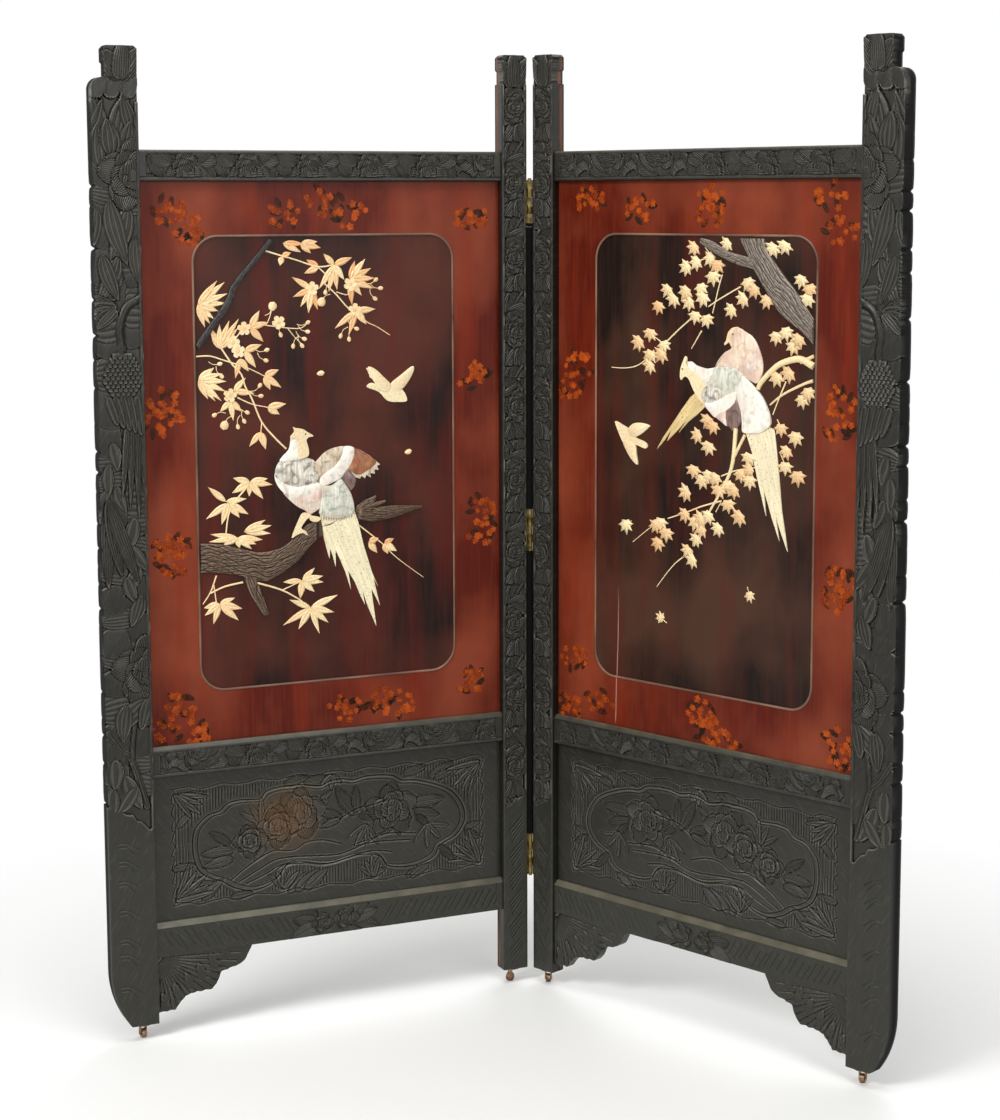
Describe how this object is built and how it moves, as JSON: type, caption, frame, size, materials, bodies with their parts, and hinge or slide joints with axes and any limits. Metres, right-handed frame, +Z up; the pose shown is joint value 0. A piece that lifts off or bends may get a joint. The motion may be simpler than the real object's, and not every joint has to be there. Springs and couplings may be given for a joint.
{
  "type": "folding screen",
  "caption": "Folding floor screen of carved dark leaves hinged in a V, with red lacquer panels inlaid with birds and branches, standing on small swivel casters.",
  "frame": {"origin": "on the floor, in the middle of the open screen's width and depth", "axes": "+Z up, +X to the right as seen from the front, +Y towards the back, where the hinges are"},
  "size_m": [1.3418, 0.4628, 1.692],
  "materials": {
    "ebonised_wood": "carved, ebonised and waxed, satin",
    "red_lacquer": "lacquered boards, red border and brown-black field, gloss",
    "dark_bead": "lacquered bead, gloss",
    "carved_trunk": "carved, stained wood, matt",
    "mother_of_pearl": "polished shell and bone",
    "bone": "polished bone",
    "hinge_brass": "aged brass",
    "copper_brass": "tarnished red brass",
    "black_felt": "black felt over a wood bead"
  },
  "bodies": {
    "left_leaf": {"bottom_hinge_left_leaf": "hinge_brass", "bottom_hinge_pin": "hinge_brass", "left_bottom_rail": "ebonised_wood", "left_carved_panel": "ebonised_wood", "left_caster_screws": "hinge_brass", "left_foliage_inlay": "bone", "left_hinge_screws": "hinge_brass", "left_inner_caster_socket": "copper_brass", "left_inner_stile": "ebonised_wood", "left_lacquer_panel": "red_lacquer", "left_mid_rail": "ebonised_wood", "left_outer_bracket": "ebonised_wood", "left_outer_caster_socket": "copper_brass", "left_outer_stile": "ebonised_wood", "left_pheasant_inlay": "mother_of_pearl", "left_small_bird_inlay": "bone", "left_top_rail": "ebonised_wood", "left_trunk_inlay": "carved_trunk", "left_window_bead": "dark_bead", "lower_draught_bead": "black_felt", "middle_hinge_left_leaf": "hinge_brass", "middle_hinge_pin": "hinge_brass", "top_hinge_left_leaf": "hinge_brass", "top_hinge_pin": "hinge_brass", "upper_draught_bead": "black_felt"},
    "right_leaf": {"bottom_hinge_right_leaf": "hinge_brass", "middle_hinge_right_leaf": "hinge_brass", "right_back_pheasant_inlay": "mother_of_pearl", "right_bottom_rail": "ebonised_wood", "right_carved_panel": "ebonised_wood", "right_caster_screws": "hinge_brass", "right_foliage_inlay": "bone", "right_front_pheasant_inlay": "mother_of_pearl", "right_hinge_screws": "hinge_brass", "right_inner_bracket": "ebonised_wood", "right_inner_caster_socket": "copper_brass", "right_inner_stile": "ebonised_wood", "right_lacquer_panel": "red_lacquer", "right_mid_rail": "ebonised_wood", "right_outer_bracket": "ebonised_wood", "right_outer_caster_socket": "copper_brass", "right_outer_stile": "ebonised_wood", "right_small_bird_inlay": "bone", "right_top_rail": "ebonised_wood", "right_trunk_inlay": "carved_trunk", "right_window_bead": "dark_bead", "top_hinge_right_leaf": "hinge_brass"},
    "left_outer_caster_fork_body": {"left_outer_caster_fork": "copper_brass", "left_outer_caster_axle": "copper_brass"},
    "left_outer_caster_wheel_body": {"left_outer_caster_wheel": "copper_brass"},
    "left_inner_caster_fork_body": {"left_inner_caster_fork": "copper_brass", "left_inner_caster_axle": "copper_brass"},
    "left_inner_caster_wheel_body": {"left_inner_caster_wheel": "copper_brass"},
    "right_inner_caster_fork_body": {"right_inner_caster_fork": "copper_brass", "right_inner_caster_axle": "copper_brass"},
    "right_inner_caster_wheel_body": {"right_inner_caster_wheel": "copper_brass"},
    "right_outer_caster_fork_body": {"right_outer_caster_fork": "copper_brass", "right_outer_caster_axle": "copper_brass"},
    "right_outer_caster_wheel_body": {"right_outer_caster_wheel": "copper_brass"}
  },
  "joints": [
    {"name": "leaf_fold", "type": "hinge", "parent": "left_leaf", "child": "right_leaf", "pos_m": [0, 0.20624, 0.848], "axis": [0, 0, 1], "range_deg": [-112, 68]},
    {"name": "left_outer_caster_swivel", "type": "hinge", "parent": "left_leaf", "child": "left_outer_caster_fork_body", "pos_m": [-0.61526, -0.18705, 0.0247], "axis": [0, 0, 1], "continuous": true},
    {"name": "left_outer_caster_roll", "type": "hinge", "parent": "left_outer_caster_fork_body", "child": "left_outer_caster_wheel_body", "pos_m": [-0.61861, -0.18333, 0.008], "axis": [0.7431, 0.6691, 0], "continuous": true},
    {"name": "left_inner_caster_swivel", "type": "hinge", "parent": "left_leaf", "child": "left_inner_caster_fork_body", "pos_m": [-0.03328, 0.2055, 0.0247], "axis": [0, 0, 1], "continuous": true},
    {"name": "left_inner_caster_roll", "type": "hinge", "parent": "left_inner_caster_fork_body", "child": "left_inner_caster_wheel_body", "pos_m": [-0.03825, 0.20498, 0.008], "axis": [-0.1045, 0.9945, 0], "continuous": true},
    {"name": "right_inner_caster_swivel", "type": "hinge", "parent": "right_leaf", "child": "right_inner_caster_fork_body", "pos_m": [0.03328, 0.2055, 0.0247], "axis": [0, 0, 1], "continuous": true},
    {"name": "right_inner_caster_roll", "type": "hinge", "parent": "right_inner_caster_fork_body", "child": "right_inner_caster_wheel_body", "pos_m": [0.03319, 0.2105, 0.008], "axis": [0.9998, 0.0175, 0], "continuous": true},
    {"name": "right_outer_caster_swivel", "type": "hinge", "parent": "right_leaf", "child": "right_outer_caster_fork_body", "pos_m": [0.61526, -0.18705, 0.0247], "axis": [0, 0, 1], "continuous": true},
    {"name": "right_outer_caster_roll", "type": "hinge", "parent": "right_outer_caster_fork_body", "child": "right_outer_caster_wheel_body", "pos_m": [0.61647, -0.1822, 0.008], "axis": [0.9703, -0.2419, 0], "continuous": true}
  ]
}
